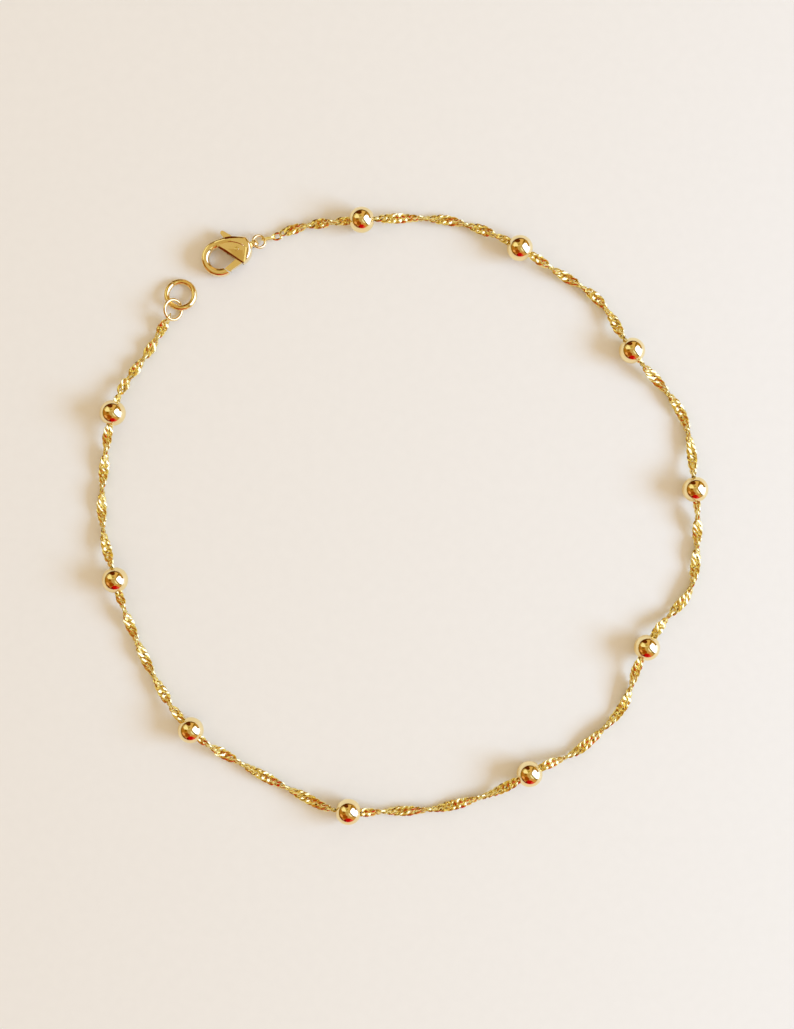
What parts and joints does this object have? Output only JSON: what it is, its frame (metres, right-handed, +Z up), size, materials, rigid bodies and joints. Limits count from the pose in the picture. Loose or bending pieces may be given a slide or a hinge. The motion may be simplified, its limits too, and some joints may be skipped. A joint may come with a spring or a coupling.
{
  "type": "chain anklet",
  "caption": "Gold-coloured twisted curb chain anklet with polished ball beads along it, a lobster clasp and a catch ring, lying open in a loop.",
  "frame": {"origin": "the middle of the lying loop, on the surface that the beads and the clasp rest on", "axes": "+Z up from the surface; +Y towards the side of the loop that opens at the clasp's left; +X to the right of that"},
  "size_m": [0.0824, 0.0831, 0.0035],
  "materials": {
    "mirror_gold": "gold plate polished to a mirror",
    "bright_cut_gold": "gold plate, bright-cut facets",
    "gold_wire": "gold plate, smooth drawn wire",
    "cast_gold": "gold plate over a polished casting"
  },
  "bodies": {
    "anklet": {"chain": "bright_cut_gold", "bead_01": "mirror_gold", "bead_02": "mirror_gold", "bead_03": "mirror_gold", "bead_04": "mirror_gold", "bead_05": "mirror_gold", "bead_06": "mirror_gold", "bead_07": "mirror_gold", "bead_08": "mirror_gold", "bead_09": "mirror_gold", "bead_10": "mirror_gold", "catch_ring": "gold_wire", "end_link": "gold_wire", "clasp_ring": "gold_wire", "clasp_body": "cast_gold", "clasp_pin": "cast_gold"},
    "lever": {"clasp_lever": "cast_gold"}
  },
  "joints": [
    {"name": "clasp_lever_hinge", "type": "hinge", "parent": "anklet", "child": "lever", "pos_m": [-0.0222, 0.03584, 0.0011], "axis": [0, 0, -1], "range_deg": [0, 25], "stiffness_Nm_per_rad": 0.002, "springref_deg": -8.59}
  ]
}
